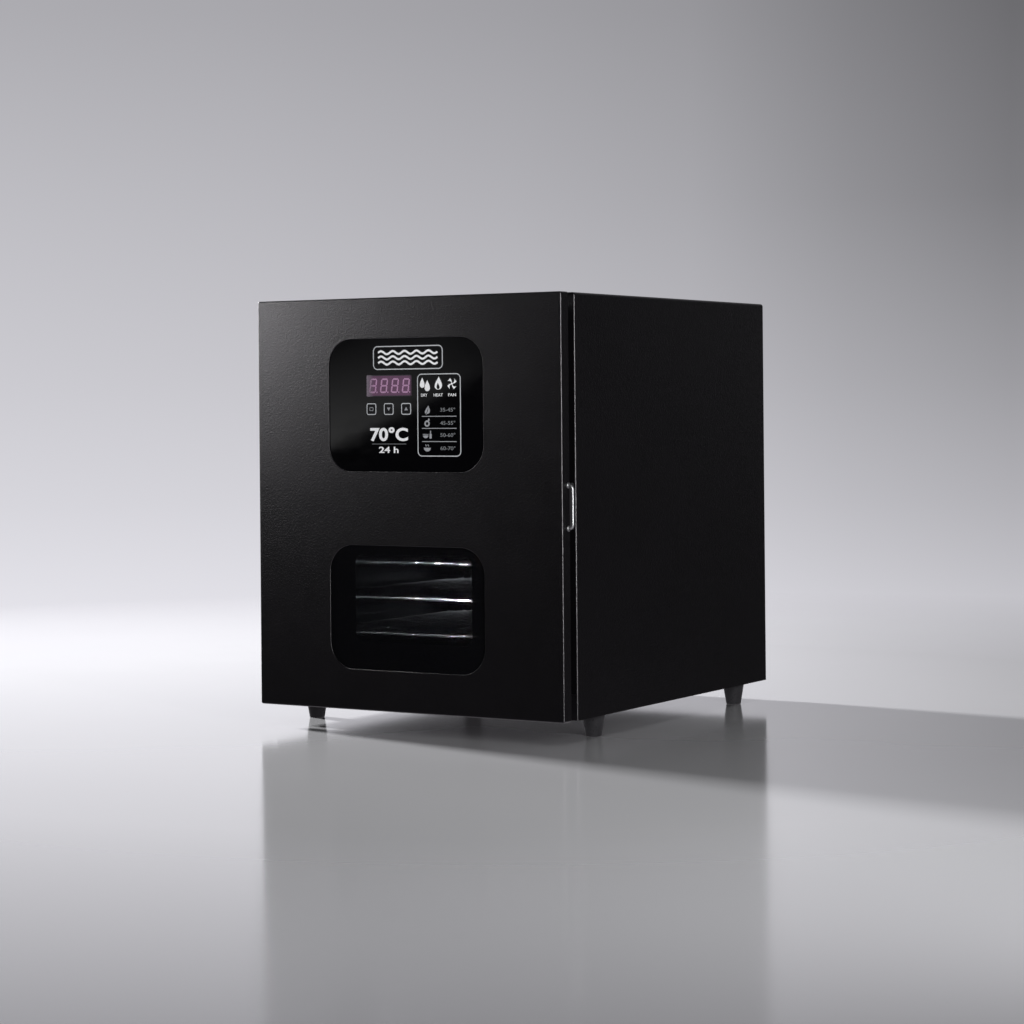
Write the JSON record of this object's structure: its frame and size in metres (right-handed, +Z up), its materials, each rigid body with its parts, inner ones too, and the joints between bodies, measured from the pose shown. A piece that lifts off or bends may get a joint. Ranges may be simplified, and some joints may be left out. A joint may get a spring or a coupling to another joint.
{
  "type": "filament dryer box",
  "caption": "Countertop drying cabinet on four feet, with a hinged door that carries a control panel and a window, wire mesh trays, and a fan heater behind the chamber.",
  "frame": {"origin": "on the supporting surface, under the middle of the body", "axes": "+Z up, +Y from the door to the rear panel, +X to the right as seen from the front"},
  "size_m": [0.3565, 0.4303, 0.421],
  "materials": {
    "black_powder_coat": "fine-textured black powder coat",
    "stainless_sheet": "brushed stainless sheet",
    "galvanised_sheet": "galvanised sheet",
    "bright_wire": "bright chrome-plated wire",
    "zinc_hinge": "blackened steel",
    "steel_pin": "zinc-plated steel",
    "heater_tube": "heat-tinted steel tube",
    "fan_aluminium": "pressed aluminium",
    "stator_steel": "varnished laminations",
    "coil_wrap": "amber insulating tape",
    "wire_sleeve": "silicone wire sleeving",
    "probe_brass": "plain brass",
    "cutoff_body": "black phenolic",
    "circuit_board": "green solder mask",
    "component_plastic": "moulded component bodies",
    "segment_white": "unlit segments",
    "panel_glass": "back-printed black glass",
    "display_tint": "tinted display lens",
    "smoked_glass": "smoked glass",
    "clear_glass": "clear glass",
    "frame_plastic": "black moulded plastic",
    "key_plastic": "gloss black key cap",
    "gasket_rubber": "dark silicone",
    "foot_rubber": "moulded rubber"
  },
  "bodies": {
    "cabinet": {"air_baffle": "stainless_sheet", "base_pan": "black_powder_coat", "board_components": "component_plastic", "cabinet_shell": "black_powder_coat", "chamber_liner": "stainless_sheet", "exhaust_duct": "frame_plastic", "foot_front_left": "foot_rubber", "foot_front_right": "foot_rubber", "foot_rear_left": "foot_rubber", "foot_rear_right": "foot_rubber", "foot_screws": "steel_pin", "heater_element": "heater_tube", "heater_shroud": "galvanised_sheet", "hinge_frame_screws": "steel_pin", "hinge_lower_frame_half": "zinc_hinge", "hinge_pins": "steel_pin", "hinge_upper_frame_half": "zinc_hinge", "mains_inlet": "frame_plastic", "motor_bolts": "steel_pin", "motor_brackets": "galvanised_sheet", "motor_coil": "coil_wrap", "motor_stator": "stator_steel", "power_board": "circuit_board", "rear_panel": "black_powder_coat", "rear_panel_screws": "steel_pin", "temperature_probe": "probe_brass", "thermal_cutoff": "cutoff_body", "tray_ladder_left": "stainless_sheet", "tray_ladder_right": "stainless_sheet", "wiring": "wire_sleeve"},
    "door": {"door_skin": "black_powder_coat", "door_inner_panel": "stainless_sheet", "door_gasket": "gasket_rubber", "control_panel_glass": "panel_glass", "display_lens": "display_tint", "display_module": "component_plastic", "display_segments": "segment_white", "control_board": "circuit_board", "tact_switches": "component_plastic", "window_glass_outer": "smoked_glass", "window_tunnel": "frame_plastic", "window_glass_inner": "clear_glass", "door_handle": "bright_wire", "door_magnet": "frame_plastic", "hinge_door_screws": "steel_pin", "hinge_upper_door_half": "zinc_hinge", "hinge_lower_door_half": "zinc_hinge"},
    "fan_rotor": {"fan_impeller": "fan_aluminium", "motor_rotor": "steel_pin"},
    "key_set_cap": {"key_set": "key_plastic"},
    "key_down_cap": {"key_down": "key_plastic"},
    "key_up_cap": {"key_up": "key_plastic"},
    "tray_1_body": {"tray_1": "bright_wire"},
    "tray_2_body": {"tray_2": "bright_wire"},
    "tray_3_body": {"tray_3": "bright_wire"},
    "tray_4_body": {"tray_4": "bright_wire"},
    "tray_5_body": {"tray_5": "bright_wire"},
    "tray_6_body": {"tray_6": "bright_wire"},
    "tray_7_body": {"tray_7": "bright_wire"},
    "tray_8_body": {"tray_8": "bright_wire"}
  },
  "joints": [
    {"name": "door_hinge", "type": "hinge", "parent": "cabinet", "child": "door", "pos_m": [-0.171, -0.1935, 0.221], "axis": [0, 0, -1], "range_deg": [0, 105]},
    {"name": "fan_spin", "type": "hinge", "parent": "cabinet", "child": "fan_rotor", "pos_m": [0, 0.16, 0.221], "axis": [0, 1, 0], "continuous": true},
    {"name": "key_set_press", "type": "slide", "parent": "door", "child": "key_set_cap", "axis": [0, 1, 0], "range_m": [0, 0.0005], "stiffness_N_per_m": 300},
    {"name": "key_down_press", "type": "slide", "parent": "door", "child": "key_down_cap", "axis": [0, 1, 0], "range_m": [0, 0.0005], "stiffness_N_per_m": 300},
    {"name": "key_up_press", "type": "slide", "parent": "door", "child": "key_up_cap", "axis": [0, 1, 0], "range_m": [0, 0.0005], "stiffness_N_per_m": 300},
    {"name": "tray_1_slide", "type": "slide", "parent": "cabinet", "child": "tray_1_body", "axis": [0, -1, 0], "range_m": [0, 0.02]},
    {"name": "tray_2_slide", "type": "slide", "parent": "cabinet", "child": "tray_2_body", "axis": [0, -1, 0], "range_m": [0, 0.02]},
    {"name": "tray_3_slide", "type": "slide", "parent": "cabinet", "child": "tray_3_body", "axis": [0, -1, 0], "range_m": [0, 0.02]},
    {"name": "tray_4_slide", "type": "slide", "parent": "cabinet", "child": "tray_4_body", "axis": [0, -1, 0], "range_m": [0, 0.02]},
    {"name": "tray_5_slide", "type": "slide", "parent": "cabinet", "child": "tray_5_body", "axis": [0, -1, 0], "range_m": [0, 0.02]},
    {"name": "tray_6_slide", "type": "slide", "parent": "cabinet", "child": "tray_6_body", "axis": [0, -1, 0], "range_m": [0, 0.02]},
    {"name": "tray_7_slide", "type": "slide", "parent": "cabinet", "child": "tray_7_body", "axis": [0, -1, 0], "range_m": [0, 0.02]},
    {"name": "tray_8_slide", "type": "slide", "parent": "cabinet", "child": "tray_8_body", "axis": [0, -1, 0], "range_m": [0, 0.02]}
  ]
}
